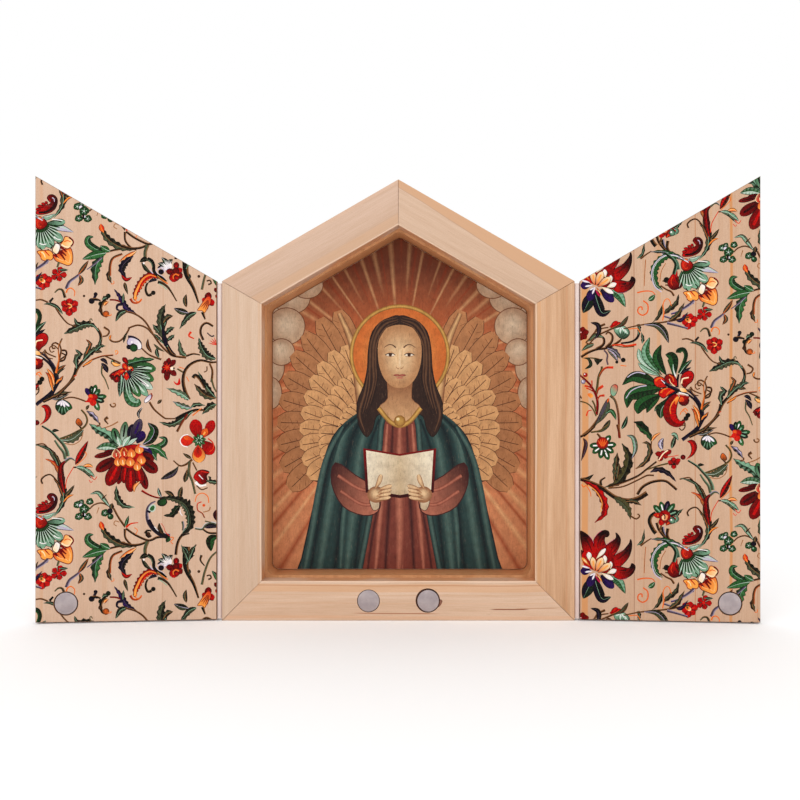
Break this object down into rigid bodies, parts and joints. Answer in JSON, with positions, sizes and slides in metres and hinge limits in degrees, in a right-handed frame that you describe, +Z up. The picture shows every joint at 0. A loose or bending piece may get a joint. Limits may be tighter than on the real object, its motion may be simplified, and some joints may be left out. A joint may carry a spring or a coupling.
{
  "type": "folding triptych shrine",
  "caption": "House-shaped wooden box shrine with a framed niche and two hinged doors with sloping tops, standing open.",
  "frame": {"origin": "centre of the box's underside, on the surface it stands on", "axes": "+Z up, the niche faces -Y, +X to the viewer's right"},
  "size_m": [0.2634, 0.0277, 0.1626],
  "materials": {
    "frame_wood": "pale sanded wood with a thin satin varnish",
    "tray_wood": "routed wood, darker and warmer in the pocket",
    "door_wood": "thin pale wood panel, printed with a floral pattern on its inner face",
    "printed_card": "printed card with a satin surface",
    "magnet_steel": "dull nickel-plated disc",
    "tape_cloth": "white woven cloth tape"
  },
  "bodies": {
    "case": {"bottom_rail": "frame_wood", "left_stile": "frame_wood", "right_stile": "frame_wood", "left_rafter": "frame_wood", "right_rafter": "frame_wood", "case_tray": "tray_wood", "picture": "printed_card", "left_rail_magnet": "magnet_steel", "right_rail_magnet": "magnet_steel", "left_tape_case": "tape_cloth", "right_tape_case": "tape_cloth"},
    "left_door": {"left_door": "door_wood", "left_door_magnet": "magnet_steel", "left_tape_door": "tape_cloth"},
    "right_door": {"right_door": "door_wood", "right_door_magnet": "magnet_steel", "right_tape_door": "tape_cloth"}
  },
  "joints": [
    {"name": "left_hinge", "type": "hinge", "parent": "case", "child": "left_door", "pos_m": [-0.06595, -0.0114, 0], "axis": [0, 0, 1], "range_deg": [-14.5, 175.5]},
    {"name": "right_hinge", "type": "hinge", "parent": "case", "child": "right_door", "pos_m": [0.06595, -0.0114, 0], "axis": [0, 0, -1], "range_deg": [-14.5, 175.5]}
  ]
}
